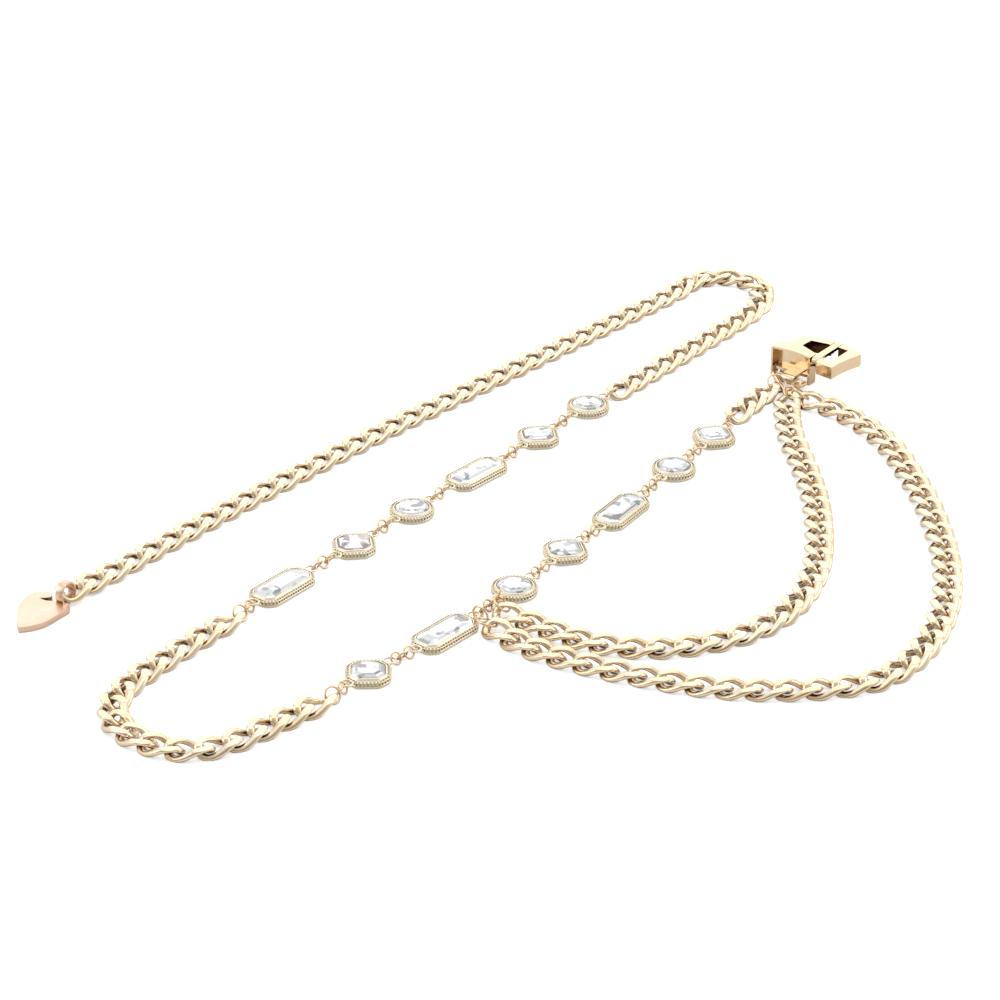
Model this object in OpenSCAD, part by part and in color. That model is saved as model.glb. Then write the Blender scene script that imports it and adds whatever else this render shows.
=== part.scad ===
// Waist chain laid open on a flat surface: a long curb chain with a row of
// thirteen stone settings, two swags, a heart tag at one end and a clasp at
// the other. All sizes are in millimetres. Z is up and the surface is z = 0.

/* [Curb links] */
// Length of one curb link over its wire
link_l = 13.5; // [13.3:0.1:13.9]
// Width of one curb link over its wire
link_w = 8.7; // [8.5:0.1:9.1]
// Width of the link wire, seen from above
link_wire_w = 2.4; // [2.3:0.05:2.5]
// Height of the link wire before it is ground flat
link_wire_h = 1.8; // [1.6:0.05:1.9]
// Thickness of the chain between its two ground faces
chain_t = 3.2; // [2.9:0.1:3.4]
// Play between two hooked links, along the chain
link_play = 0.7; // [0.6:0.05:0.8]

/* [Jump rings] */
// Wire diameter of the rings that hold the ends of the swags
holding_wire = 0.65; // [0.6:0.05:0.7]
// Wire diameter of the small rings
ring_wire = 0.66; // [0.6:0.02:0.7]
// Distance that a gap between two settings allows for each small ring
ring_step = 2.45; // [2.3:0.05:2.6]
// Tilt of the small rings, to one side and the other in turn
ring_tilt = 55; // [50:1:60]
// Clearance between the pieces that hook into each other
ring_gap = 0.14; // [0.1:0.01:0.16]

/* [Settings] */
// Outer diameter of a round setting
round_d = 13.4; // [13:0.1:13.8]
// Width of an octagon setting across its flats
octagon_w = 12.6; // [12.2:0.1:13]
// Length of a baguette setting along the chain
baguette_l = 21.6; // [21:0.1:22]
// Width of a baguette setting
baguette_w = 10.6; // [10:0.1:11]
// Share of a setting's width that each corner is cut back by
corner_share = 0.24; // [0.2:0.01:0.28]
// Height of the settings, from the surface to the rim
setting_h = 2.6; // [2.4:0.1:2.8]
// Width of the rim that slopes up to the stone
rim_w = 1.7; // [1.5:0.1:2]
// Height of the slope of the rim
rim_h = 1.1; // [0.9:0.1:1.3]
// Thickness of the metal below the stone
setting_floor = 0.5; // [0.4:0.1:0.8]
// Clearance round each stone
stone_gap = 0.12; // [0.1:0.01:0.2]
// Height of a stone above its rim
stone_crown = 0.6; // [0.4:0.1:0.8]
// Share of a stone's width that its table takes
table_share = 0.6; // [0.5:0.01:0.7]

/* [Heart tag] */
// Thickness of the heart
heart_t = 1.8; // [1.5:0.1:2]
// Width of the band that holds the heart
bail_w = 2.3; // [2:0.1:2.4]
// Outer diameter of the band
bail_d = 6.6; // [6.4:0.05:6.8]
// Thickness of the band
bail_t = 0.55; // [0.5:0.05:0.6]

/* [Clasp] */
// Width of the box at the front of the clasp
box_l = 14.3; // [14:0.1:14.6]
// Depth of the box
box_w = 3.7; // [3.4:0.1:4]
// Height of the clasp
clasp_h = 9.6; // [9.2:0.1:10]
// Thickness of the walls of the box
box_wall = 0.7; // [0.6:0.05:0.8]
// Height of the frame's bars
frame_h = 4; // [3.6:0.1:4.4]
// Width of the hinged bar
latch_w = 2.4; // [2.2:0.1:2.6]
// Thickness of the hinged bar
latch_t = 1.1; // [0.9:0.1:1.2]
// Diameter of the hinge pin
pin_d = 1; // [0.9:0.05:1.1]
// Diameter of the knuckle round the pin
knuckle_d = 2.2; // [2.1:0.05:2.3]
// Clearance round the hinged bar
latch_gap = 0.2; // [0.15:0.01:0.25]
// Wire diameter of the triangle ring
triangle_wire = 1.6; // [1.4:0.05:1.7]
// Diameter of the tube that holds the triangle ring
tube_d = 3.2; // [3:0.1:3.2]
// Clearance of the triangle ring in its tube
tube_gap = 0.2; // [0.15:0.01:0.25]

/* [Hidden] */

// Colours of the metal and the stones
gold = [0.93, 0.78, 0.55];
peach = [0.96, 0.82, 0.68];
clear = [0.93, 0.94, 0.96];

// Where the middle of the laid-out chain is, in the plan that follows
plan_middle = [-1.32, 7.84, 0];

// Sizes of the path of a link's wire, from the link's own sizes
path_a = (link_l - link_wire_w) / 2;
path_b = (link_w - link_wire_w) / 2;
path_rise = 0.5 * link_wire_h + 0.55;
link_pitch = link_l - 2 * link_wire_w - link_play;
chain_z = chain_t / 2;
// Corners along a link's wire and around it
link_sides = 10;
wire_sides = 5;
spline_steps = 10;

// Ring sizes: a ring reaches over the step to the next one and past its wire
ring_r = (ring_step + ring_wire + ring_gap) / 2;
loop_r = ring_r + 0.05;
ring_z = ring_r * sin(ring_tilt) + ring_wire / 2;
// Ring that holds a curb link: its hole takes the link's wire and a ring
end_ring_r = (link_wire_w + 2 * ring_wire + 6 * ring_gap) / 2;
// Distance from the outside of a setting to the middle of its soldered loop
loop_reach = loop_r - 0.4;
loop_z = ring_z + 0.1;
// How far such a ring's middle lies past the joint of the curb link
curb_reach = end_ring_r + path_a - ring_wire / 2 - link_wire_w / 2
    - 2 * ring_gap - link_pitch / 2;

// Routes of the curb chains as [x, y, lift above the resting height]
main_route = [
    [-119.9, -61, 1.2], [-112.6, -51.8, 0.3], [-97, -31.5, 0], [-66.5, 6, 0],
    [-36, 41.5, 0], [-8, 72.5, 0], [24.5, 108, 0], [50, 136, 0], [60, 147.5, 0],
    [62.5, 153.5, 0], [75, 157, 0], [81.5, 154, 0], [86, 147, 0],
    [86, 140, 0], [83.5, 132.5, 0], [79.5, 125.5, 0], [71, 114, 0], [60, 100, 0],
    [50, 87, 0], [41, 75.6, 0], [35.6, 68.7, 0]
];
loop_route = [
    [-72.4, -72.4, 0], [-78, -79, 0], [-87, -91, 0], [-96, -104, 0],
    [-100, -112, 0], [-101.5, -119.5, 0], [-100, -127, 0], [-96, -133, 0],
    [-90, -138, 0], [-82.5, -141, 0], [-75, -140.5, 0], [-68, -136.5, 0],
    [-57, -126.5, 0], [-45.4, -116, 0]
];
end_route = [[71.4, 52.1, 0], [77.5, 62, 0], [83.8, 72, 0]];
outer_route = [
    [94, 63.6, 0], [100.5, 59, 0], [106.5, 52.5, 0], [111.5, 45, 0],
    [117, 32, 0], [120.5, 16, 0], [123.5, -1, 0], [125.5, -25, 0],
    [125.5, -42, 0], [123, -63, 0], [118.5, -78.5, 0], [111, -94, 0],
    [100.5, -105.5, 0], [86, -110, 0], [70, -111, 0], [54, -109, 0],
    [40, -104.5, 0], [25, -98.5, 0], [12, -91.5, 0], [3.5, -84.5, 0],
    [-2.1, -77.6, 0]
];
inner_route = [
    [88.5, 64.8, 0], [87.8, 56, 0], [87.5, 40, 0], [89.5, 23, 0],
    [91.5, 2, 0], [91.5, -18, 0], [89.5, -39.5, 0], [85, -56, 0],
    [78.5, -69, 0], [68, -80, 0], [53.5, -87, 0], [37, -89, 0],
    [22, -84.5, 0], [9.5, -75.8, 0], [0.6, -69.2, 0]
];
// Number of links of the main route that the first of its two nodes holds
tag_chain_links = 30;

// Rings that hold the ends of the swags and of the end chain, as
// [x, y, z, heading, tilt, radius]: first the clasp's, then the row's
holding_places = [
    [86, 73.9, 2.25, 39, 37, 3.15],
    [92.6, 65.9, 3.1, 103, 40, 3.4],
    [91.5, 70.6, 2.6, 96, -57, 2.7],
    [90.1, 66.9, 2.1, 56, 30, 2.75],
    [0.5, -66.9, 2.7, 82, 37, 2.65],
    [0.3, -63.5, 2.55, 108, -78, 2.2],
    [-3.5, -75.9, 2.1, 127, 21, 2.8],
    [-5.3, -73.2, 3, 141, 82, 2.55]
];

// Settings along the chain: kind, x, y, heading
round_kind = 0;
octagon_kind = 1;
baguette_kind = 2;
settings = [
    [round_kind, 27, 59.5, 231],
    [octagon_kind, 11.5, 38.5, 232],
    [baguette_kind, -7, 14.5, 229],
    [round_kind, -25.5, -9, 231],
    [octagon_kind, -41.5, -30.5, 232],
    [baguette_kind, -60.5, -54.5, 232],
    [octagon_kind, -35, -102, 47],
    [baguette_kind, -15, -80.5, 50],
    [round_kind, 4, -55.5, 54],
    [octagon_kind, 18.5, -34, 56],
    [baguette_kind, 35, -9.5, 58],
    [round_kind, 51.5, 17.5, 58],
    [octagon_kind, 64.5, 38.5, 57]
];

// Outline of the heart, from its notch round one lobe to the tip and back
heart_left = [
    [-127.2, -61.7], [-124.2, -61.2], [-123.9, -59.4], [-126, -57.9],
    [-129, -58.6], [-131.2, -61.8], [-132.4, -67], [-132.1, -73],
    [-130.9, -78.2]
];
heart_right = [
    [-130.9, -78.2], [-127.5, -77.2], [-124, -75], [-121, -71],
    [-118.4, -67.2], [-118.8, -64.8], [-122.2, -63.4], [-125, -63.2],
    [-127.2, -61.7]
];

// Band that holds the heart: middle, direction and height of its middle
bail_place = [-119.8, -61.6];
bail_heading = 60;
bail_z = bail_d / 2 + 0.2;

// Clasp: front corner of its box, and direction of the box's front
clasp_place = [84.8, 85.5];
clasp_heading = -37;
// Frame behind the box, as [distance along the front, distance behind it]
frame_outline = [
    [0.3, 3.3], [0.3, 4.4], [3.1, 7], [3.4, 10.9], [4.8, 13], [7.4, 14.1],
    [box_l - 1.5, 14.6], [box_l + 4.9, 14.4], [box_l + 8.6, 13.8],
    [box_l + 10.7, 13.1], [box_l + 11.3, 11.3], [box_l + 10, 6.3],
    [box_l + 9.3, 1.8], [box_l + 9.2, -2.1], [box_l + 7.6, -2],
    [box_l + 3.4, -1.5], [box_l + 0.3, 2.6], [box_l - 0.35, 3.3]
];
frame_window = [
    [7.4, 6.4], [7.8, 11], [box_l - 1.1, 12], [box_l + 6.7, 11.7],
    [box_l + 6.6, 0.9], [box_l + 3.9, 0.9], [box_l + 3.7, 2.2],
    [box_l + 0.3, 3.5]
];
// The top's front edge curves in by this much
top_curve = 1;
// Hinge beside the box, and how far behind the front its bar reaches
hinge_place = [box_l + 0.3, 1.5];
latch_reach = 15.9;
latch_room = 0.6;
tube_place = [8.5, -2.4];
tube_l = 4.6;
// Plate inside the box: its front face, its thickness and its margins
inner_w = 2.9;
inner_plate = 0.8;
inner_margin = 0.35;
inner_z = 2;
// Shelf along the foot of that plate: front edge, margins and thickness
shelf_w = 1;
shelf_margin = 1.6;
shelf_t = 0.9;
// Leg below the frame, behind the box: left end, length, depth and walls
leg_from = 1.6;
leg_l = 5;
leg_back = 9.6;
leg_h = 2;
leg_wall = 1.2;
// Head of the small pin on the inner plate
head_d = 1.2;
head_h = 0.6;
head_place = [box_l - 3.4, clasp_h - 2.6];
// Corners of the triangle ring's wire, in the plan
triangle_z = 1.6;
triangle_point = [88.2, 68.6];
triangle_base = 11.4;
// Size of the short peg that fills each of those corners
corner_d = triangle_wire * 1.02;

// Plan direction and small vector helpers
function along(heading) = [cos(heading), sin(heading), 0];
function flat(v) = [v[0], v[1]];
function unit(v) = v / norm(v);
function at_z(p, z) = [p[0], p[1], z];

// Smooth curve through the points of a route
function route_tangent(route, i) =
    let (
        last = len(route) - 1,
        before = route[max(i - 1, 0)],
        after = route[min(i + 1, last)],
        span = norm(route[i] - before) + norm(after - route[i])
    )
    (after - before) / span;
function route_point(route, i, s) =
    let (
        chord = norm(route[i + 1] - route[i]),
        start = route_tangent(route, i) * chord,
        finish = route_tangent(route, i + 1) * chord
    )
    route[i] * (2 * s ^ 3 - 3 * s ^ 2 + 1) + start * (s ^ 3 - 2 * s ^ 2 + s)
    + route[i + 1] * (3 * s ^ 2 - 2 * s ^ 3) + finish * (s ^ 3 - s ^ 2);
function fine_route(route) = concat(
    [
        for (i = [0 : len(route) - 2], k = [0 : spline_steps - 1])
            route_point(route, i, k / spline_steps)
    ],
    [route[len(route) - 1]]
);

// Distance from the start of a line to each of its points
function run_lengths(line) = [
    for (i = 0, total = 0; i < len(line);
        total = total + (i + 1 < len(line) ? norm(line[i + 1] - line[i]) : 0),
        i = i + 1)
        total
];

// No joint lies lower than the resting height
function resting(p) = at_z(p, max(p[2], 0));

// Joints of a chain: points at even steps along its route, never over a pitch
function chain_joints(route) =
    let (
        line = fine_route(route),
        lengths = run_lengths(line),
        total = lengths[len(lengths) - 1],
        count = ceil(total / link_pitch - 0.02),
        tables = [
            for (axis = [0 : 2])
                [for (i = [0 : len(line) - 1]) [lengths[i], line[i][axis]]]
        ]
    )
    [
        for (k = [0 : count])
            resting([for (axis = [0 : 2]) lookup(total * k / count, tables[axis])])
    ];

// One curb link: a wire round a twisted oval, ground flat above and below
function path_point(t) =
    [path_a * cos(t), path_b * sin(t), -path_rise * sin(2 * t)];
function path_direction(t) = unit(
    [-path_a * sin(t), path_b * cos(t), -2 * path_rise * cos(2 * t)]
);
function wire_corner(t, s) =
    let (
        forward = path_direction(t),
        side = unit(cross(forward, [0, 0, 1])),
        top = cross(side, forward),
        p = path_point(t) + side * (link_wire_w / 2 * cos(s))
            + top * (link_wire_h / 2 * sin(s))
    )
    [p[0], p[1], min(max(p[2], -chain_t / 2), chain_t / 2)];
link_corners = [
    for (i = [0 : link_sides - 1], j = [0 : wire_sides - 1])
        wire_corner(360 * i / link_sides, 90 + 360 * j / wire_sides)
];

// Moves a corner from the link's own frame to its place between two joints
function placed(p, from, to) =
    let (
        forward = unit(to - from),
        left = unit(cross([0, 0, 1], forward)),
        top = cross(forward, left)
    )
    (from + to) / 2 + forward * p[0] + left * p[1] + top * p[2]
    + [0, 0, chain_z];

// Index of a corner, and the two triangles of each patch between corners
function corner_at(link, i, j) =
    (link * link_sides + i % link_sides) * wire_sides + j % wire_sides;
function patch(link, i, j) = [
    [corner_at(link, i, j), corner_at(link, i, j + 1),
        corner_at(link, i + 1, j + 1)],
    [corner_at(link, i, j), corner_at(link, i + 1, j + 1),
        corner_at(link, i + 1, j)]
];

// Chain of the links between the given joints
module curb_chain(joints) {
    count = len(joints) - 1;
    translate(-plan_middle) polyhedron(
        points = [
            for (k = [0 : count - 1], p = link_corners)
                placed(p, joints[k], joints[k + 1])
        ],
        faces = [
            for (k = [0 : count - 1], i = [0 : link_sides - 1],
                j = [0 : wire_sides - 1], face = patch(k, i, j))
                face
        ]
    );
}
function part_of(list, first, last) = [for (i = [first : last]) list[i]];

module tag_chain() {
    joints = chain_joints(main_route);
    color(gold) curb_chain(part_of(joints, 0, tag_chain_links));
}

module turn_chain() {
    joints = chain_joints(main_route);
    color(gold) curb_chain(part_of(joints, tag_chain_links, len(joints) - 1));
}

module loop_chain() {
    color(gold) curb_chain(chain_joints(loop_route));
}

module end_chain() {
    color(gold) curb_chain(chain_joints(end_route));
}

module outer_swag() {
    color(gold) curb_chain(chain_joints(outer_route));
}

module inner_swag() {
    color(gold) curb_chain(chain_joints(inner_route));
}

// Sizes of a setting by its kind
function setting_l(kind) = kind == round_kind ? round_d
    : kind == octagon_kind ? octagon_w * octagon_reach : baguette_l;
function setting_w(kind) = kind == round_kind ? round_d
    : kind == octagon_kind ? octagon_w : baguette_w;

// An octagon hangs by two cut corners: its reach along the chain
octagon_reach = sqrt(2) * (1 - corner_share);

// Outline of a setting, set in from its edge by a given width
function cut_outline(l, w, cut) = [
    [l / 2, -w / 2 + cut], [l / 2, w / 2 - cut], [l / 2 - cut, w / 2],
    [-l / 2 + cut, w / 2], [-l / 2, w / 2 - cut], [-l / 2, -w / 2 + cut],
    [-l / 2 + cut, -w / 2], [l / 2 - cut, -w / 2]
];
function turned(points, angle) = [
    for (p = points)
        [p[0] * cos(angle) - p[1] * sin(angle),
            p[0] * sin(angle) + p[1] * cos(angle)]
];
// Setting a cut corner in keeps all eight sides parallel
function inset_cut(cut, inset) = cut - inset * (2 - sqrt(2));
function setting_outline(kind, inset) =
    kind == round_kind
    ? [for (a = [0 : 22.5 : 337.5]) (round_d / 2 - inset) * flat(along(a))]
    : kind == octagon_kind
    ? turned(cut_outline(octagon_w - 2 * inset, octagon_w - 2 * inset,
        inset_cut(corner_share * octagon_w, inset)), 45)
    : cut_outline(baguette_l - 2 * inset, baguette_w - 2 * inset,
        inset_cut(corner_share * baguette_w, inset));

// Solid between two outlines with as many corners, one above the other
module lofted(rings, heights) {
    n = len(rings[0]);
    levels = len(rings);
    polyhedron(
        points = [
            for (k = [0 : levels - 1], p = rings[k]) [p[0], p[1], heights[k]]
        ],
        faces = concat(
            [[for (i = [0 : n - 1]) i]],
            [
                for (k = [0 : levels - 2], i = [0 : n - 1])
                    [k * n + i, (k + 1) * n + i, (k + 1) * n + (i + 1) % n,
                        k * n + (i + 1) % n]
            ],
            [[for (i = [n - 1 : -1 : 0]) (levels - 1) * n + i]]
        )
    );
}

// Metal of a setting, without its loops
module setting_block(kind) {
    edge = setting_h - rim_h;
    if (kind == round_kind)
        rotate_extrude($fn = 64) polygon([
            [0, 0], [round_d / 2 - rim_w / 2, 0], [round_d / 2, edge / 2],
            [round_d / 2, edge], [round_d / 2 - rim_w * 0.6, setting_h],
            [0, setting_h]
        ]);
    else {
        linear_extrude(edge) polygon(setting_outline(kind, 0));
        lofted(
            [setting_outline(kind, 0.01), setting_outline(kind, rim_w * 0.6)],
            [edge - 0.01, setting_h]
        );
    }
}

// Room for the stone in its setting
module stone_seat(kind) {
    translate([0, 0, setting_floor])
        if (kind == round_kind)
            cylinder(h = setting_h, r = round_d / 2 - rim_w, $fn = 64);
        else
            linear_extrude(setting_h) polygon(setting_outline(kind, rim_w));
}

// Loop soldered to one end of a setting
module soldered_loop(reach) {
    translate([reach, 0, 0]) rotate_extrude($fn = 32)
        translate([loop_r, 0]) circle(d = ring_wire, $fn = 16);
}

// Reach of a loop's middle from the middle of its setting
function loop_place(kind) = setting_l(kind) / 2 + loop_reach;

// Place of a setting
module in_setting(row) {
    translate([row[1], row[2], 0] - plan_middle) rotate(row[3]) children();
}

module setting(index) {
    row = settings[index];
    color(gold) in_setting(row) {
        difference() {
            union() {
                setting_block(row[0]);
                for (side = [-1, 1])
                    translate([0, 0, loop_z])
                        soldered_loop(side * loop_place(row[0]));
            }
            stone_seat(row[0]);
        }
    }
}

// Faceted stone: pavilion, girdle, crown and table
module stone(index) {
    row = settings[index];
    kind = row[0];
    girdle = setting_outline(kind, rim_w + stone_gap);
    step = [for (p = girdle) p * (1 + table_share) / 2];
    table = [for (p = girdle) p * table_share];
    heel = [for (p = girdle) p * 0.7];
    color(clear) in_setting(row) lofted(
        [heel, girdle, girdle, step, table],
        [
            setting_floor + stone_gap, setting_h - 0.5, setting_h - 0.2,
            setting_h + stone_crown * 0.6, setting_h + stone_crown
        ]
    );
}

// Middle of the loop at one end of a setting, in the plan
function loop_middle(index, side) =
    let (row = settings[index])
    [row[1], row[2], 0] + side * loop_place(row[0]) * along(row[3]);

// One ring round a line of the given heading, tilted about that line
module jump_ring(place, heading, tilt, r) {
    translate(at_z(place, r * sin(ring_tilt) + ring_wire / 2) - plan_middle)
        rotate(heading) rotate([tilt, 0, 0]) rotate_extrude($fn = 32)
        translate([r, 0]) circle(d = ring_wire, $fn = 16);
}

// Row of small rings in the gap from one middle to another
module ring_row(from, to, first_tilt) {
    gap = norm(to - from);
    count = round(gap / ring_step) - 1;
    step = gap / (count + 1);
    reach = step + ring_wire + ring_gap;
    if (count > 0)
        for (i = [1 : count])
            jump_ring(
                from + (to - from) * i / (count + 1),
                atan2(to[1] - from[1], to[0] - from[0]),
                first_tilt * (i % 2 == 1 ? 1 : -1),
                max(ring_r, reach / 2, reach - loop_r)
            );
}

// Last joint of a chain and the direction out of it
function chain_tip(route, at_end) =
    let (joints = chain_joints(route), last = len(joints) - 1)
    at_end ? [joints[last], unit(joints[last] - joints[last - 1])]
        : [joints[0], unit(joints[0] - joints[1])];

// Ring through the end link of a chain, and the row from it to a setting
module chain_hook(route, at_end, loop) {
    tip = chain_tip(route, at_end);
    middle = tip[0] + tip[1] * curb_reach;
    jump_ring(middle, atan2(tip[1][1], tip[1][0]), ring_tilt, end_ring_r);
    ring_row(middle + tip[1] * (end_ring_r - ring_r), loop, -ring_tilt);
}

module jump_rings() {
    color(gold) {
        chain_hook(main_route, true, loop_middle(0, -1));
        for (i = [0, 1, 2, 3, 4, 6, 7, 8, 9, 10, 11])
            ring_row(loop_middle(i, 1), loop_middle(i + 1, -1), ring_tilt);
        chain_hook(loop_route, false, loop_middle(5, 1));
        chain_hook(loop_route, true, loop_middle(6, -1));
        chain_hook(end_route, false, loop_middle(12, 1));
    }
}

// Larger rings at the ends of the swags and of the end chain
module holding_rings() {
    color(gold) translate(-plan_middle) for (row = holding_places)
        translate([row[0], row[1], row[2]]) rotate(row[3])
            rotate([row[4], 0, 0]) rotate_extrude($fn = 32)
            translate([row[5], 0]) circle(d = holding_wire, $fn = 16);
}

// Smooth outline through two lists of points that meet at their ends
function smooth_outline(first, second) = concat(
    part_of(fine_route(first), 0, len(fine_route(first)) - 2),
    part_of(fine_route(second), 0, len(fine_route(second)) - 2)
);

// Cylinder at the place of the band
module bail_cylinder(h, d) {
    translate([bail_place[0], bail_place[1], bail_z]) rotate(bail_heading)
        rotate([90, 0, 0]) cylinder(h = h, d = d, center = true, $fn = 48);
}

module heart_tag() {
    color(peach) translate(-plan_middle) difference() {
        union() {
            linear_extrude(heart_t)
                polygon(smooth_outline(heart_left, heart_right));
            bail_cylinder(bail_w, bail_d);
        }
        bail_cylinder(bail_w * 3, bail_d - 2 * bail_t);
    }
}

// Place of the clasp in the plan
module in_clasp() {
    translate(at_z(clasp_place, 0) - plan_middle) rotate(clasp_heading)
        children();
}

// Box between two corners
module block(from, to) {
    translate(from) cube(to - from);
}

// Bar along the front of the clasp
module along_front(place, z, from, to, d) {
    translate([from, place[1], z]) rotate([0, 90, 0])
        cylinder(h = to - from, d = d, $fn = 32);
}

hinge_z = clasp_h - knuckle_d / 2;
latch_from = hinge_place[0];
latch_to = hinge_place[0] + latch_w;
frame_z = clasp_h - frame_h;
leg_to = leg_from + leg_l;
leg_top = frame_z + 0.5;
tongue_z = triangle_z + 0.6;

module clasp_frame() {
    difference() {
        translate([0, 0, frame_z]) linear_extrude(frame_h) difference() {
            polygon(frame_outline);
            polygon(frame_window);
        }
        // Mouth in the far rail, and room for the hinged bar
        block([latch_from - latch_gap, latch_reach / 2, frame_z - 1],
            [latch_to + latch_gap, latch_reach + latch_room, clasp_h + 1]);
        block([latch_from - latch_gap, -knuckle_d - 1, frame_z + box_wall],
            [latch_to + latch_gap, latch_reach, clasp_h + 1]);
    }
}

// Top plate of the box, with its front edge curved in
module box_top() {
    curve_r = (box_l ^ 2 / 4 + top_curve ^ 2) / (2 * top_curve);
    difference() {
        block([0, 0, clasp_h - box_wall], [box_l, box_w, clasp_h]);
        translate([box_l / 2, top_curve - curve_r, clasp_h - box_wall - 1])
            cylinder(h = box_wall + 2, r = curve_r, $fn = 128);
    }
}

module clasp_body() {
    color(gold) in_clasp() {
        difference() {
            union() {
                clasp_frame();
                // Side walls, top and inner plate of the box
                block([0, 0, 0], [box_wall, box_w, clasp_h]);
                block([box_l - box_wall, 0, 0], [box_l, box_w, clasp_h]);
                box_top();
                block([inner_margin, inner_w, inner_z], [box_l - inner_margin,
                    inner_w + inner_plate, clasp_h - inner_margin]);
                // Shelf, tongue and tube that hold the triangle ring
                block([shelf_margin, shelf_w, inner_z],
                    [box_l - shelf_margin, inner_w + inner_plate / 2,
                        inner_z + shelf_t]);
                block([tube_place[0] - tube_l / 2, tube_place[1], tongue_z],
                    [tube_place[0] + tube_l / 2, inner_w + inner_plate / 2,
                        triangle_z + tube_d / 2]);
                along_front(tube_place, triangle_z,
                    tube_place[0] - tube_l / 2, tube_place[0] + tube_l / 2,
                    tube_d);
                // Leg below the frame, behind the box
                block([leg_from, inner_w, 0], [leg_to, leg_back, leg_h]);
                block([leg_from, inner_w, 0],
                    [leg_from + leg_wall, leg_back, leg_top]);
                block([leg_from, leg_back - leg_wall, 0],
                    [leg_to, leg_back, leg_top]);
                // Small pin head on the inner plate
                translate([head_place[0], inner_w + head_h / 3, head_place[1]])
                    rotate([90, 0, 0]) cylinder(h = head_h, d = head_d, $fn = 24);
                // Hinge pin
                along_front(hinge_place, hinge_z, box_l - box_wall / 2,
                    latch_to + 1, pin_d);
            }
            along_front(tube_place, triangle_z, tube_place[0] - tube_l,
                tube_place[0] + tube_l, triangle_wire + 2 * tube_gap);
        }
    }
}

module clasp_latch() {
    color(gold) in_clasp() difference() {
        union() {
            along_front(hinge_place, hinge_z, latch_from, latch_to, knuckle_d);
            block([latch_from, hinge_place[1], clasp_h - latch_t],
                [latch_to, latch_reach - latch_w / 2, clasp_h]);
            translate([latch_from + latch_w / 2, latch_reach - latch_w / 2,
                clasp_h - latch_t])
                cylinder(h = latch_t, d = latch_w, $fn = 32);
        }
        along_front(hinge_place, hinge_z, latch_from - 1, latch_to + 1,
            pin_d + 2 * latch_gap);
    }
}

// Straight wire between two points
module wire(from, to, d) {
    way = to - from;
    translate(from) rotate([0, acos(way[2] / norm(way)),
        atan2(way[1], way[0])]) cylinder(h = norm(way), d = d, $fn = 32);
}

// Point of the clasp's own frame, in the plan
function clasp_point(l, w) =
    clasp_place + turned([[l, w]], clasp_heading)[0];

module clasp_ring() {
    corners = [
        clasp_point(tube_place[0] - triangle_base / 2, tube_place[1]),
        clasp_point(tube_place[0] + triangle_base / 2, tube_place[1]),
        triangle_point
    ];
    color(gold) translate([0, 0, triangle_z] - plan_middle)
        for (i = [0 : 2]) {
            wire(at_z(corners[i], 0), at_z(corners[(i + 1) % 3], 0),
                triangle_wire);
            translate(at_z(corners[i], 0)) cylinder(h = corner_d,
                d = corner_d, center = true, $fn = 32);
        }
}

heart_tag();
tag_chain();
turn_chain();
loop_chain();
end_chain();
outer_swag();
inner_swag();
jump_rings();
holding_rings();
clasp_body();
clasp_latch();
clasp_ring();
setting(0);  // setting_01
setting(1);  // setting_02
setting(2);  // setting_03
setting(3);  // setting_04
setting(4);  // setting_05
setting(5);  // setting_06
setting(6);  // setting_07
setting(7);  // setting_08
setting(8);  // setting_09
setting(9);  // setting_10
setting(10);  // setting_11
setting(11);  // setting_12
setting(12);  // setting_13
stone(0);  // stone_01
stone(1);  // stone_02
stone(2);  // stone_03
stone(3);  // stone_04
stone(4);  // stone_05
stone(5);  // stone_06
stone(6);  // stone_07
stone(7);  // stone_08
stone(8);  // stone_09
stone(9);  // stone_10
stone(10);  // stone_11
stone(11);  // stone_12
stone(12);  // stone_13
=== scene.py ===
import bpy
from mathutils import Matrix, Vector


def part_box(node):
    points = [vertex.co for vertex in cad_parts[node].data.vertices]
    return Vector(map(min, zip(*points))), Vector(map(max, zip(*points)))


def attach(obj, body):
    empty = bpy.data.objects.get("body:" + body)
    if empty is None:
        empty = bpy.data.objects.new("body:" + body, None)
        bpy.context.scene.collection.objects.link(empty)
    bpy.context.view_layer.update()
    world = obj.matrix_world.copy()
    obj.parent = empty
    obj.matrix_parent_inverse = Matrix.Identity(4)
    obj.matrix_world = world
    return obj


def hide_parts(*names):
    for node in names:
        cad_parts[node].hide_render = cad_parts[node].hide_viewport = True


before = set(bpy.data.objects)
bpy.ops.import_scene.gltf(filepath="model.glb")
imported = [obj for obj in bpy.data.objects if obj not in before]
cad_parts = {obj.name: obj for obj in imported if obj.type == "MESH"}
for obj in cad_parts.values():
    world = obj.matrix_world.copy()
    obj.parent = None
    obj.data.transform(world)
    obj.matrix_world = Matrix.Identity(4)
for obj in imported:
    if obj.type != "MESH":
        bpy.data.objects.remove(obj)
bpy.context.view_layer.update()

import math

import bpy
import numpy as np
from mathutils import Vector

MM = 0.001


# Sizes as in the solids, in millimetres and degrees

# Middle of the layout in the photograph's plan, which is the part's origin
PLAN_MIDDLE = (-1.32, 7.84)

# Curb link
LINK_L = 13.5
LINK_W = 8.7
LINK_WIRE_W = 2.4
LINK_WIRE_H = 1.8
LINK_RISE = 1.45
CHAIN_T = 3.2
CHAINS = ("tag_chain", "turn_chain", "loop_chain", "end_chain", "outer_swag", "inner_swag")

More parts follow.
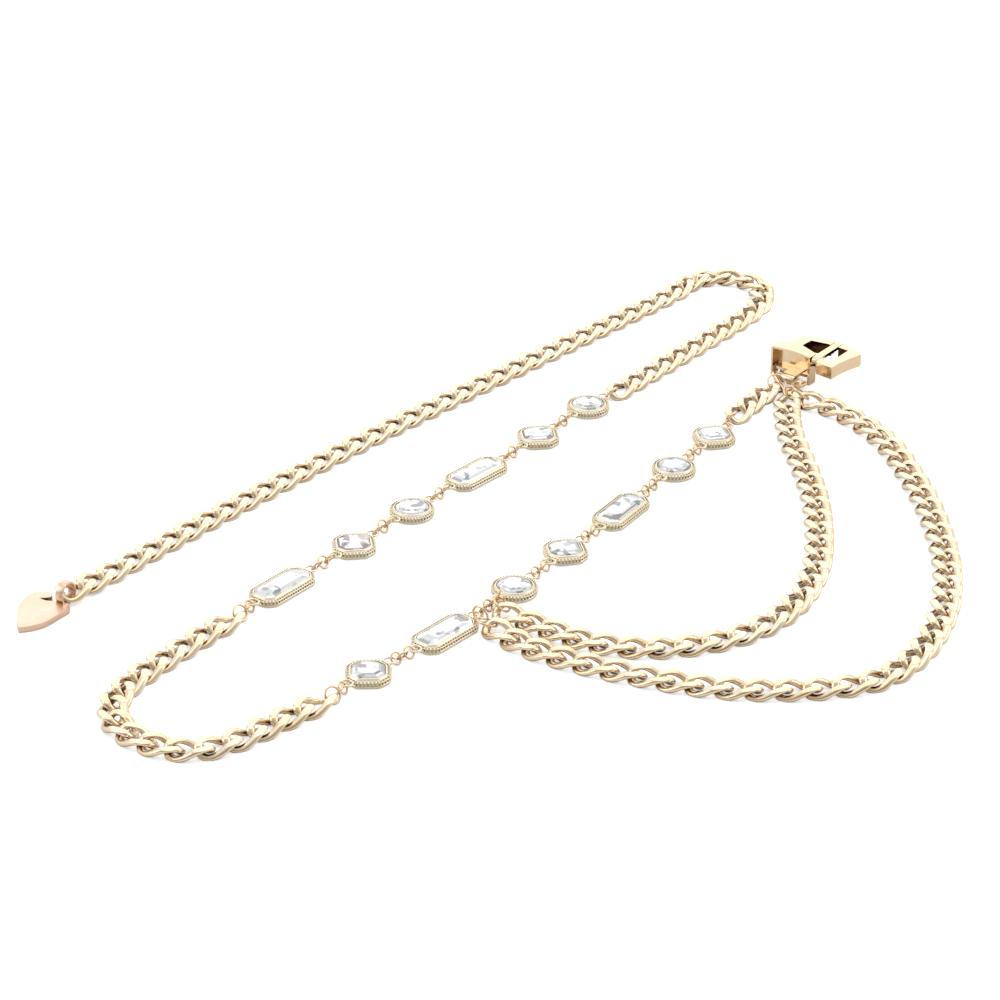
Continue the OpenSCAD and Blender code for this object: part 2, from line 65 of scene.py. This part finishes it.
# Kind and heading of each setting
SETTINGS = {
    "01": ("round", 231), "02": ("octagon", 232), "03": ("baguette", 229),
    "04": ("round", 231), "05": ("octagon", 232), "06": ("baguette", 232),
    "07": ("octagon", 47), "08": ("baguette", 50), "09": ("round", 54),
    "10": ("octagon", 56), "11": ("baguette", 58), "12": ("round", 58),
    "13": ("octagon", 57),
}
ROUND_D = 13.4
OCTAGON_W = 12.6
OCTAGON_TURN = 45
BAGUETTE_L = 21.6
BAGUETTE_W = 10.6
# Cut corner of an octagon or a baguette, as a share of its width
CORNER_SHARE = 0.24
SETTING_H = 2.6
SETTING_FLOOR = 0.5
RIM_W = 1.7
STONE_GAP = 0.12
STONE_CROWN = 0.6

# Loop at each end of a setting
RING_WIRE = 0.66
LOOP_R = 1.675
LOOP_Z = 1.761
LOOP_OVERLAP = 0.4


def from_plan(x, y):
    """A place in the photograph's plan, in the part's frame."""
    return x - PLAN_MIDDLE[0], y - PLAN_MIDDLE[1]


# Clasp's corner and heading, and the room in its frame along, behind and up, where shade is
# painted on the walls
CLASP_PLACE = from_plan(84.8, 85.5)
CLASP_HEADING = -37
CLASP_WINDOW = ((6.9, 21.6), (4.4, 12.5), (5.0, 9.5))

# Triangle ring: the tube that it turns in, its base along the tube, its point and its wire
TUBE_ALONG = 8.5
TUBE_BEHIND = -2.4
TRIANGLE_BASE = 11.4
TRIANGLE_POINT = from_plan(88.2, 68.6)
TRIANGLE_Z = 1.6
TRIANGLE_WIRE = 1.6


# Camera at the photograph's angle

CAMERA_ELEVATION = math.radians(27.61)
CAMERA_DISTANCE = 1.01241
CAMERA_SENSOR = 36
CAMERA_LENS = 124.81
CAMERA_CLIP = (0.05, 20)

camera_target = Vector((*from_plan(0, 0), 0)) * MM
camera_data = bpy.data.cameras.new("camera")
camera_data.sensor_width = CAMERA_SENSOR
camera_data.lens = CAMERA_LENS
camera_data.clip_start, camera_data.clip_end = CAMERA_CLIP
camera = bpy.data.objects.new("camera", camera_data)
bpy.context.scene.collection.objects.link(camera)
away = Vector((0, -math.cos(CAMERA_ELEVATION), math.sin(CAMERA_ELEVATION)))
camera.location = camera_target + away * CAMERA_DISTANCE
camera.rotation_euler = away.to_track_quat("Z", "Y").to_euler()
bpy.context.scene.camera = camera
bpy.context.scene.view_settings.view_transform = "Standard"


# Shader nodes

# A colour Mix node's sockets, which share their names with those of its other data types
MIX_A, MIX_B, MIX_RESULT = 6, 7, 2


def new_material(name):
    material = bpy.data.materials.new(name)
    material.use_nodes = True
    return material, material.node_tree, material.node_tree.nodes["Principled BSDF"]


def noise(tree, scale, detail=2.0, roughness=0.5):
    coordinates = tree.nodes.new("ShaderNodeTexCoord")
    node = tree.nodes.new("ShaderNodeTexNoise")
    node.inputs["Scale"].default_value = scale
    node.inputs["Detail"].default_value = detail
    node.inputs["Roughness"].default_value = roughness
    tree.links.new(coordinates.outputs["Object"], node.inputs["Vector"])
    return node.outputs["Fac"]


def ramp(tree, source, band, values):
    """Maps a band of the source to two values, and holds them outside it."""
    node = tree.nodes.new("ShaderNodeMapRange")
    node.inputs["From Min"].default_value, node.inputs["From Max"].default_value = band
    node.inputs["To Min"].default_value, node.inputs["To Max"].default_value = values
    tree.links.new(source, node.inputs["Value"])
    return node.outputs["Result"]


def calculate(tree, operation, *values):
    """A Math node on sockets and numbers."""
    node = tree.nodes.new("ShaderNodeMath")
    node.operation = operation
    for socket, value in zip(node.inputs, values):
        if isinstance(value, float):
            socket.default_value = value
        else:
            tree.links.new(value, socket)
    return node.outputs["Value"]


def colour_mix(tree, factor, first, second):
    """Mixes two colours, each of them a socket or three numbers."""
    node = tree.nodes.new("ShaderNodeMix")
    node.data_type = "RGBA"
    tree.links.new(factor, node.inputs["Factor"])
    for index, colour in ((MIX_A, first), (MIX_B, second)):
        if isinstance(colour, tuple):
            node.inputs[index].default_value = (*colour, 1)
        else:
            tree.links.new(colour, node.inputs[index])
    return node.outputs[MIX_RESULT]


# Gold

CLOUD_SCALE = 90
CLOUD_BAND = (0.35, 0.65)
GLOSS_SCALE = 900
GLOSS_DETAIL = 4
GLOSS_GRAIN = 0.6
GLOSS_BAND = (0.3, 0.7)
WAVE_HEIGHT = 0.0002
# Painted shade: ambient occlusion turns the colour to a dark brown in recesses and between parts
RECESS_SAMPLES = 8
RECESS_SHADE_BAND = (0.22, 0.52)
RECESS_PAINTED_SHADE = (0.11, 0.045, 0.015)
# Painted shade inside the clasp's frame, and the width of the soft edge of its box
WINDOW_PAINTED_SHADE = (0.09, 0.05, 0.03)
WINDOW_EDGE = 0.1


def gold(name, pale, deep, rough, wear, bump, bump_scale, shade_reach=2.2):
    """Plated metal with painted shade in its recesses: colour and gloss vary a little, with slight
    waves.
    """
    material, tree, shader = new_material(name)
    shader.inputs["Metallic"].default_value = 1.0
    tint = ramp(tree, noise(tree, CLOUD_SCALE), CLOUD_BAND, (0, 1))
    plate = colour_mix(tree, tint, pale, deep)
    # Painted shade in the recesses, driven by an ambient occlusion node
    hollow = tree.nodes.new("ShaderNodeAmbientOcclusion")
    hollow.samples = RECESS_SAMPLES
    hollow.inputs["Distance"].default_value = shade_reach * MM
    openness = ramp(tree, hollow.outputs["AO"], RECESS_SHADE_BAND, (0, 1))
    tree.links.new(colour_mix(tree, openness, RECESS_PAINTED_SHADE, plate), shader.inputs["Base Color"])
    fine = noise(tree, GLOSS_SCALE, GLOSS_DETAIL, GLOSS_GRAIN)
    tree.links.new(ramp(tree, fine, GLOSS_BAND, (rough, rough + wear)), shader.inputs["Roughness"])
    relief = tree.nodes.new("ShaderNodeBump")
    relief.inputs["Strength"].default_value = bump
    relief.inputs["Distance"].default_value = WAVE_HEIGHT
    tree.links.new(noise(tree, bump_scale), relief.inputs["Height"])
    tree.links.new(relief.outputs["Normal"], shader.inputs["Normal"])
    return material


def paint_window_shade(material):
    """Paints shade on the walls inside the clasp's frame."""
    tree = material.node_tree
    base = tree.nodes["Principled BSDF"].inputs["Base Color"]
    plate = base.links[0].from_socket
    coordinates = tree.nodes.new("ShaderNodeTexCoord")
    heading = math.radians(CLASP_HEADING)
    axes = ((math.cos(heading), math.sin(heading), 0),
            (-math.sin(heading), math.cos(heading), 0),
            (0, 0, 1))
    inside = None
    for axis, (low, high) in zip(axes, CLASP_WINDOW):
        along = tree.nodes.new("ShaderNodeVectorMath")
        along.operation = "DOT_PRODUCT"
        tree.links.new(coordinates.outputs["Object"], along.inputs[0])
        along.inputs[1].default_value = axis
        corner = axis[0] * CLASP_PLACE[0] + axis[1] * CLASP_PLACE[1]
        middle = (corner + (low + high) / 2) * MM
        distance = calculate(
            tree, "ABSOLUTE", calculate(tree, "SUBTRACT", along.outputs["Value"], middle))
        half = (high - low) / 2 * MM
        near = ramp(tree, distance, (half - WINDOW_EDGE * MM, half), (1, 0))
        inside = near if inside is None else calculate(tree, "MULTIPLY", inside, near)
    # Inside the box, the plate colour gives way to the painted shade
    tree.links.new(colour_mix(tree, inside, plate, WINDOW_PAINTED_SHADE), base)


# Pale and deep colour, gloss and its spread, strength and scale of the waves
link_gold = gold(
    "link_gold", (0.98, 0.82, 0.60), (0.95, 0.75, 0.50), 0.12, 0.08, 0.25, 500)
ring_gold = gold(
    "ring_gold", (0.95, 0.75, 0.50), (0.87, 0.64, 0.39), 0.14, 0.10, 0.15, 900)
clasp_gold = gold(
    "clasp_gold", (0.91, 0.72, 0.50), (0.87, 0.66, 0.43), 0.12, 0.08, 0.20, 300)
heart_gold = gold(
    "heart_gold", (0.90, 0.68, 0.53), (0.87, 0.62, 0.46), 0.24, 0.10, 0.25, 400, shade_reach=4)
setting_gold = gold(
    "setting_gold", (0.98, 0.89, 0.71), (0.96, 0.84, 0.62), 0.24, 0.10, 0.15, 700, shade_reach=0.6)
# The clasp's frame gets painted shade on its inside walls
paint_window_shade(clasp_gold)


# Stones

CLEAR = (0.98, 0.985, 1.0)
PINK = (1.0, 0.90, 0.935)
PINK_SETTING = "05"
# Painted reflections in the stones: a random tone for each facet, and darker cells
FACET_STEP = 0.02
FACET_REFLECTION_BAND = (0.08, 0.36)
CELL_SCALE = 560
CELL_REFLECTION_BAND = (0.08, 0.26)
SHADE = 0.42
STONE_METALLIC = 0.5
STONE_ROUGHNESS = 0.04
STONE_IOR = 1.6
STONE_TRANSMISSION = 0.15


def stone_material(name, colour):
    """Foil-backed crystal with painted reflections: each facet has a painted tone of its own, with
    darker painted cells among them.
    """
    material, tree, shader = new_material(name)
    geometry = tree.nodes.new("ShaderNodeNewGeometry")
    rounded = tree.nodes.new("ShaderNodeVectorMath")
    rounded.operation = "SNAP"
    rounded.inputs[1].default_value = (FACET_STEP, FACET_STEP, FACET_STEP)
    tree.links.new(geometry.outputs["True Normal"], rounded.inputs[0])
    # A random tone for each facet normal paints the facets' reflections
    facet = tree.nodes.new("ShaderNodeTexWhiteNoise")
    facet.noise_dimensions = "3D"
    tree.links.new(rounded.outputs["Vector"], facet.inputs["Vector"])
    front = ramp(tree, facet.outputs["Value"], FACET_REFLECTION_BAND, (0, 1))
    # The cells are painted reflections of the back facets, as if seen through the front ones
    coordinates = tree.nodes.new("ShaderNodeTexCoord")
    cells = tree.nodes.new("ShaderNodeTexVoronoi")
    cells.inputs["Scale"].default_value = CELL_SCALE
    tree.links.new(coordinates.outputs["Object"], cells.inputs["Vector"])
    cell = tree.nodes.new("ShaderNodeSeparateColor")
    tree.links.new(cells.outputs["Color"], cell.inputs["Color"])
    back = ramp(tree, cell.outputs["Red"], CELL_REFLECTION_BAND, (0, 1))
    tone = calculate(tree, "MINIMUM", front, back)
    shaded = tuple(SHADE * c for c in colour)
    tree.links.new(colour_mix(tree, tone, shaded, colour), shader.inputs["Base Color"])
    shader.inputs["Metallic"].default_value = STONE_METALLIC
    shader.inputs["Roughness"].default_value = STONE_ROUGHNESS
    shader.inputs["IOR"].default_value = STONE_IOR
    shader.inputs["Transmission Weight"].default_value = STONE_TRANSMISSION
    return material


clear_stone = stone_material("clear_stone", CLEAR)
pink_stone = stone_material("pink_stone", PINK)


# Mesh building, in millimetres

class Build:
    """Gathers vertices and faces, then makes one object of them."""

    def __init__(self):
        self.points = []
        self.faces = []
        self.smooth = []
        self.count = 0

    def add(self, points, faces, smooth=True):
        self.points.append(points)
        self.faces.extend([tuple(int(i) + self.count for i in face) for face in faces])
        self.smooth.extend([smooth] * len(faces))
        self.count += len(points)

    def make(self, name, material):
        mesh = bpy.data.meshes.new(name)
        mesh.from_pydata((np.vstack(self.points) * MM).tolist(), [], self.faces)
        mesh.polygons.foreach_set("use_smooth", self.smooth)
        mesh.materials.append(material)
        mesh.update()
        piece = bpy.data.objects.new(name, mesh)
        bpy.context.scene.collection.objects.link(piece)
        return piece


def grid_faces(rows, columns, close_rows=True):
    """Quads of a grid that closes round its columns, and round its rows if asked."""
    faces = []
    for i in range(rows if close_rows else rows - 1):
        here, above = i * columns, (i + 1) % rows * columns
        for j in range(columns):
            ahead = (j + 1) % columns
            faces.append((here + j, here + ahead, above + ahead, above + j))
    return faces


def tube_faces(stations, sides):
    """Faces of a closed tube whose sides run from its outer side up."""
    return [face[::-1] for face in grid_faces(stations, sides)]


def cap_faces(rows, columns):
    """The two faces that close an open grid, below its first row and on its last."""
    first = (rows - 1) * columns
    return [tuple(range(columns - 1, -1, -1)), tuple(range(first, first + columns))]


def unit(v):
    return v / np.linalg.norm(v, axis=-1, keepdims=True)


def circle(sides):
    """Angles at even steps round a circle."""
    return np.linspace(0, 2 * np.pi, sides, endpoint=False)


def bead(r, columns=8, rows=5):
    """A ball round the origin."""
    points = [(0, 0, r)]
    for i in range(1, rows):
        a = math.pi * i / rows
        for j in range(columns):
            b = 2 * math.pi * j / columns
            points.append((r * math.sin(a) * math.cos(b),
                           r * math.sin(a) * math.sin(b),
                           r * math.cos(a)))
    points.append((0, 0, -r))
    faces = [(0, 1 + j, 1 + (j + 1) % columns) for j in range(columns)]
    for i in range(rows - 2):
        for j in range(columns):
            a, b = 1 + i * columns + j, 1 + i * columns + (j + 1) % columns
            faces.append((a, a + columns, b + columns, b))
    last = 1 + (rows - 2) * columns
    end = len(points) - 1
    faces += [(last + j, end, last + (j + 1) % columns) for j in range(columns)]
    return np.array(points), faces


def torus(r, wire, columns=40, sides=14):
    """A level ring round the origin."""
    a, b = circle(columns)[:, None], circle(sides)[None]
    out = r + wire / 2 * np.cos(b)
    points = np.broadcast_arrays(out * np.cos(a), out * np.sin(a), wire / 2 * np.sin(b))
    return np.stack(points, -1).reshape(-1, 3), tube_faces(columns, sides)


def straight_wire(start, finish, r, sides=24):
    """A level round wire between two points, open at its ends."""
    ahead = unit(finish - start)
    side = np.array((-ahead[1], ahead[0], 0))
    a = circle(sides)[:, None]
    rim = r * (np.cos(a) * side + np.sin(a) * np.array((0, 0, 1)))
    return np.vstack([start + rim, finish + rim]), grid_faces(2, sides, close_rows=False)


# Curb links: a round wire on a twisted oval, ground flat above and below

LINK_STATIONS = 56
WIRE_SIDES = 16
GROUND_SOFT = 0.12
SAME_POINT_DIGITS = 4


def link_template():
    """Points and faces of a link that lies along X round the origin."""
    t = circle(LINK_STATIONS)
    a = (LINK_L - LINK_WIRE_W) / 2
    b = (LINK_W - LINK_WIRE_W) / 2
    path = np.stack([a * np.cos(t), b * np.sin(t), -LINK_RISE * np.sin(2 * t)], 1)
    forward = unit(np.stack(
        [-a * np.sin(t), b * np.cos(t), -2 * LINK_RISE * np.cos(2 * t)], 1))
    side = unit(np.cross(forward, [0, 0, 1]))
    top = np.cross(side, forward)
    s = circle(WIRE_SIDES)[None, :, None]
    wide = LINK_WIRE_W / 2 * np.cos(s)
    high = LINK_WIRE_H / 2 * np.sin(s)
    points = path[:, None] + side[:, None] * wide + top[:, None] * high
    # The ground faces have a soft edge
    z = points[..., 2]
    edge = CHAIN_T / 2 - GROUND_SOFT
    over = np.abs(z) - edge
    eased = np.where(over > 0, edge + GROUND_SOFT * np.tanh(over / GROUND_SOFT), np.abs(z))
    points[..., 2] = np.sign(z) * eased
    return points.reshape(-1, 3), tube_faces(LINK_STATIONS, WIRE_SIDES)


def islands(node):
    """Corners of each loose solid of a node, in millimetres."""
    mesh = node.data
    points = np.empty(len(mesh.vertices) * 3)
    mesh.vertices.foreach_get("co", points)
    points = points.reshape(-1, 3) / MM
    keys, where = np.unique(points.round(SAME_POINT_DIGITS), axis=0, return_inverse=True)
    where = np.ravel(where)
    parent = list(range(len(keys)))

    def root(i):
        while parent[i] != i:
            parent[i] = parent[parent[i]]
            i = parent[i]
        return i

    for edge in mesh.edges:
        a, b = root(where[edge.vertices[0]]), root(where[edge.vertices[1]])
        if a != b:
            parent[a] = b
    groups = {}
    for i in range(len(keys)):
        groups.setdefault(root(i), []).append(i)
    return [keys[members] for members in groups.values()]


def link_axes(corners):
    """Middle of a link and its own length, width and thickness directions."""
    middle = corners.mean(0)
    _, directions = np.linalg.eigh(np.cov((corners - middle).T))
    forward = directions[:, 2]
    up = directions[:, 0] * (1 if directions[2, 0] > 0 else -1)
    left = np.cross(up, forward)
    return middle, np.stack([forward, left, up])


link_points, link_faces = link_template()


def dress_chain(name):
    build = Build()
    for corners in islands(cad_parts[name]):
        middle, axes = link_axes(corners)
        build.add(middle + link_points @ axes, link_faces)
    piece = build.make(name + "_links", link_gold)
    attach(piece, "chain")
    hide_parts(name)


for chain in CHAINS:
    dress_chain(chain)


# Settings and their stones

# Section of a setting, from the middle of its back out, up and in to the seat:
# inset from the outline, height
SECTION = [
    (1.1, 0.0), (0.45, 0.0), (0.30, 0.10), (0.22, 0.35), (0.26, 0.55),
    (0.14, 0.66), (0.16, 0.78), (0.52, 0.86), (0.52, 1.52), (0.16, 1.60), (0.14, 1.76),
    (0.24, 1.88), (0.50, 1.92), (0.86, 2.00), (1.04, 2.26), (1.28, 2.40),
    (1.42, 2.58), (1.56, 2.60), (1.66, 2.45), (1.70, 1.9), (1.70, 0.5),
]
# Beads in the wall's groove and on the halo: inset, height, radius, spacing
BEAD_ROWS = [
    (0.34, 1.19, 0.36, 0.98),
    (0.58, 2.10, 0.36, 0.98),
]
ROUND_SIDES = 64
# Rounding of the corners at the edge, and the inset at which it would be gone
CORNER_ROUND = 1.1
CORNER_FADE = 4
CORNER_STEPS = 5
# Levels of a cut stone, from its culet up: share of the girdle's outline, height
STONE_LEVELS = [
    (0.30, SETTING_FLOOR + STONE_GAP),
    (0.72, SETTING_H - 1.25),
    (1.0, SETTING_H - 0.45),
    (1.0, SETTING_H - 0.2),
    (0.90, SETTING_H + STONE_CROWN * 0.30),
    (0.78, SETTING_H + STONE_CROWN * 0.68),
    (0.62, SETTING_H + STONE_CROWN),
]
GIRDLE_LEVEL = 2
STONE_SIDES = 16


def turned(points, angle):
    c, s = math.cos(math.radians(angle)), math.sin(math.radians(angle))
    return points @ np.array([(c, s), (-s, c)])


def cut_outline(l, w, cut):
    """Corners of a rectangle with its corners cut off."""
    return np.array([
        (l / 2, -w / 2 + cut), (l / 2, w / 2 - cut),
        (l / 2 - cut, w / 2), (-l / 2 + cut, w / 2),
        (-l / 2, w / 2 - cut), (-l / 2, -w / 2 + cut),
        (-l / 2 + cut, -w / 2), (l / 2 - cut, -w / 2),
    ])


def outline(kind, inset, sides=ROUND_SIDES):
    """Corners of a setting's outline, set in from its edge."""
    if kind == "round":
        a = circle(sides)
        return (ROUND_D / 2 - inset) * np.stack([np.cos(a), np.sin(a)], 1)
    # A cut gets shorter as its sides move in
    cut_loss = inset * (2 - math.sqrt(2))
    if kind == "octagon":
        w = OCTAGON_W - 2 * inset
        return turned(cut_outline(w, w, CORNER_SHARE * OCTAGON_W - cut_loss), OCTAGON_TURN)
    return cut_outline(BAGUETTE_L - 2 * inset, BAGUETTE_W - 2 * inset,
                       CORNER_SHARE * BAGUETTE_W - cut_loss)


def soft_outline(kind, inset):
    """The same outline with its corners rounded."""
    points = outline(kind, inset)
    if kind == "round":
        return points
    radius = CORNER_ROUND * (1 - inset / CORNER_FADE)
    result = []
    for i, here in enumerate(points):
        to_before = unit(points[i - 1] - here)
        to_after = unit(points[(i + 1) % len(points)] - here)
        for k in range(CORNER_STEPS):
            s = k / (CORNER_STEPS - 1)
            result.append(here + radius * ((1 - s) ** 2 * to_before + s ** 2 * to_after))
    return np.array(result)


def even_places(points, spacing):
    """Places at even steps round a closed outline."""
    closed = np.vstack([points, points[:1]])
    steps = np.linalg.norm(np.diff(closed, axis=0), axis=1)
    lengths = np.concatenate([[0], np.cumsum(steps)])
    count = int(round(lengths[-1] / spacing))
    places = np.linspace(0, lengths[-1], count, endpoint=False)
    return np.stack([np.interp(places, lengths, closed[:, k]) for k in range(2)], 1)


def levelled(rings):
    """Points of flat rings, each at its own height."""
    return np.vstack([np.column_stack([ring, np.full(len(ring), z)]) for ring, z in rings])


def loop_place(kind):
    """Distance from a setting's middle to that of its loops."""
    length = {"round": ROUND_D,
              "octagon": OCTAGON_W * math.sqrt(2) * (1 - CORNER_SHARE),
              "baguette": BAGUETTE_L}[kind]
    return length / 2 + LOOP_R - LOOP_OVERLAP


def setting_middle(number):
    low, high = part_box("stone_" + number)
    return np.array([(low[k] + high[k]) / 2 / MM for k in range(2)])


def place_in_row(points, heading, middle):
    return np.column_stack([turned(points[:, :2], heading) + middle, points[:, 2]])


def dress_setting(number):
    kind, heading = SETTINGS[number]
    middle = setting_middle(number)
    build = Build()

    def put(points, faces):
        build.add(place_in_row(points, heading, middle), faces)

    rings = [(soft_outline(kind, inset), z) for inset, z in SECTION]
    sides = len(rings[0][0])
    put(levelled(rings),
        grid_faces(len(rings), sides, close_rows=False) + cap_faces(len(rings), sides))
    for inset, z, r, spacing in BEAD_ROWS:
        ball, ball_faces = bead(r)
        for x, y in even_places(soft_outline(kind, inset), spacing):
            put(ball + (x, y, z), ball_faces)
    loop, loop_faces = torus(LOOP_R, RING_WIRE)
    for side in (-1, 1):
        put(loop + (side * loop_place(kind), 0, LOOP_Z), loop_faces)
    piece = build.make("setting_%s_metal" % number, setting_gold)
    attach(piece, "chain")
    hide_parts("setting_" + number)


def stone_faces(kind, rows, n):
    faces = []
    for k in range(rows - 1):
        for i in range(n):
            a, b = k * n + i, k * n + (i + 1) % n
            c, d = a + n, b + n
            if kind != "round" or k == GIRDLE_LEVEL:
                faces.append((a, b, d, c))
            elif k % 2 == 0:
                faces += [(a, b, c), (b, d, c)]
            else:
                faces += [(a, d, c), (a, b, d)]
    return faces + cap_faces(rows, n)


def dress_stone(number):
    kind, heading = SETTINGS[number]
    girdle = outline(kind, RIM_W + STONE_GAP, STONE_SIDES)
    levels = [(girdle * share, z) for share, z in STONE_LEVELS]
    n = len(girdle)
    if kind == "round":
        # Every other level is turned by half a step, which gives kite and star facets,
        # but both of the girdle's levels lie alike
        half_step = 180.0 / n
        levels = [(turned(ring, half_step * (k % 2)), z) for k, (ring, z) in enumerate(levels)]
        levels[GIRDLE_LEVEL + 1] = (levels[GIRDLE_LEVEL][0], levels[GIRDLE_LEVEL + 1][1])
    build = Build()
    build.add(place_in_row(levelled(levels), heading, setting_middle(number)),
              stone_faces(kind, len(levels), n), smooth=False)
    piece = build.make("stone_%s_cut" % number,
                       pink_stone if number == PINK_SETTING else clear_stone)
    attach(piece, "chain")
    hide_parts("stone_" + number)


for number in SETTINGS:
    dress_setting(number)
    dress_stone(number)


# Solids that stay, with soft edges and their own finish

WELD_DISTANCE = 1e-6
BEVEL_SEGMENTS = 3
BEVEL_ANGLE = math.radians(40)
HEART_EDGE = 0.25
CLASP_EDGE = 0.15


def finish_node(name, material, edge=0):
    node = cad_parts[name]
    for slot in node.material_slots:
        slot.material = material
    if edge:
        weld = node.modifiers.new("joined", "WELD")
        weld.merge_threshold = WELD_DISTANCE
        bevel = node.modifiers.new("soft_edges", "BEVEL")
        bevel.width = edge * MM
        bevel.segments = BEVEL_SEGMENTS
        bevel.limit_method = "ANGLE"
        bevel.angle_limit = BEVEL_ANGLE


finish_node("heart_tag", heart_gold, HEART_EDGE)
finish_node("jump_rings", ring_gold)
finish_node("holding_rings", ring_gold)
finish_node("clasp_body", clasp_gold, CLASP_EDGE)
finish_node("clasp_latch", clasp_gold, CLASP_EDGE)


# Triangle ring: three wires, with a ball where two of them meet

def clasp_point(along, behind):
    """A place along the clasp's front and behind it, in the part's frame."""
    c, s = math.cos(math.radians(CLASP_HEADING)), math.sin(math.radians(CLASP_HEADING))
    return (CLASP_PLACE[0] + along * c - behind * s,
            CLASP_PLACE[1] + along * s + behind * c)


triangle_corners = [np.array((*place, TRIANGLE_Z)) for place in (
    clasp_point(TUBE_ALONG - TRIANGLE_BASE / 2, TUBE_BEHIND),
    clasp_point(TUBE_ALONG + TRIANGLE_BASE / 2, TUBE_BEHIND),
    TRIANGLE_POINT,
)]
triangle = Build()
ball, ball_faces = bead(TRIANGLE_WIRE / 2, columns=24, rows=12)
for index, corner in enumerate(triangle_corners):
    following = triangle_corners[(index + 1) % 3]
    triangle.add(*straight_wire(corner, following, TRIANGLE_WIRE / 2))
    triangle.add(ball + corner, ball_faces)
triangle_ring = triangle.make("clasp_ring_wire", clasp_gold)
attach(triangle_ring, "chain")
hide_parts("clasp_ring")


# Floor: seen directly it is near white, and it throws less light back on the metal

FLOOR_HALF = 3.0
FLOOR_DROP = 0.0001
FLOOR_ROUGHNESS = 0.9
FLOOR_COLOURS = ((0.80, 0.77, 0.72), (0.95, 0.95, 0.95))
FLOOR_GLOWS = (0.12, 0.56)

floor_mesh = bpy.data.meshes.new("floor")
floor_corners = [(FLOOR_HALF * x, FLOOR_HALF * y, 0)
                 for x, y in ((-1, -1), (1, -1), (1, 1), (-1, 1))]
floor_mesh.from_pydata(floor_corners, [], [(0, 1, 2, 3)])
floor = bpy.data.objects.new("floor", floor_mesh)
bpy.context.scene.collection.objects.link(floor)
floor.location.z = -FLOOR_DROP
floor_material, floor_tree, floor_shader = new_material("floor")
floor_shader.inputs["Roughness"].default_value = FLOOR_ROUGHNESS
floor_shader.inputs["Specular IOR Level"].default_value = 0.0
floor_shader.inputs["Emission Color"].default_value = (1, 1, 1, 1)
direct = floor_tree.nodes.new("ShaderNodeLightPath").outputs["Is Camera Ray"]
floor_tree.links.new(colour_mix(floor_tree, direct, *FLOOR_COLOURS),
                     floor_shader.inputs["Base Color"])
floor_tree.links.new(ramp(floor_tree, direct, (0, 1), FLOOR_GLOWS),
                     floor_shader.inputs["Emission Strength"])
floor_mesh.materials.append(floor_material)


# Lights, all aimed at the origin: place, width and height in metres, and power in watts
LIGHTS = {
    "top_light": ((0.0, 0.35, 1.5), 1.4, 1.1, 3.0),
    "left_light": ((-1.3, -0.2, 0.8), 0.7, 1.0, 2.4),
    "right_light": ((1.3, 0.1, 0.7), 0.6, 0.9, 1.9),
    "back_light": ((0.0, 1.5, 0.75), 1.9, 0.8, 2.8),
}
# Backdrop, brighter behind the object than on the camera's side
BACKDROP_BAND = (-0.8, 0.1)
BACKDROP_GLOWS = (0.28, 0.9)

for name, (place, width, height, power) in LIGHTS.items():
    light_data = bpy.data.lights.new(name, "AREA")
    light_data.shape = "RECTANGLE"
    light_data.size = width
    light_data.size_y = height
    light_data.energy = power
    light = bpy.data.objects.new(name, light_data)
    bpy.context.scene.collection.objects.link(light)
    light.location = place
    light.rotation_euler = Vector(place).to_track_quat("Z", "Y").to_euler()

world = bpy.data.worlds.new("studio")
bpy.context.scene.world = world
world.use_nodes = True
world_tree = world.node_tree
backdrop = world_tree.nodes["Background"]
coordinates = world_tree.nodes.new("ShaderNodeTexCoord")
split = world_tree.nodes.new("ShaderNodeSeparateXYZ")
world_tree.links.new(coordinates.outputs["Generated"], split.inputs["Vector"])
shade = ramp(world_tree, split.outputs["Y"], BACKDROP_BAND, BACKDROP_GLOWS)
backdrop.inputs["Color"].default_value = (1, 1, 1, 1)
world_tree.links.new(shade, backdrop.inputs["Strength"])
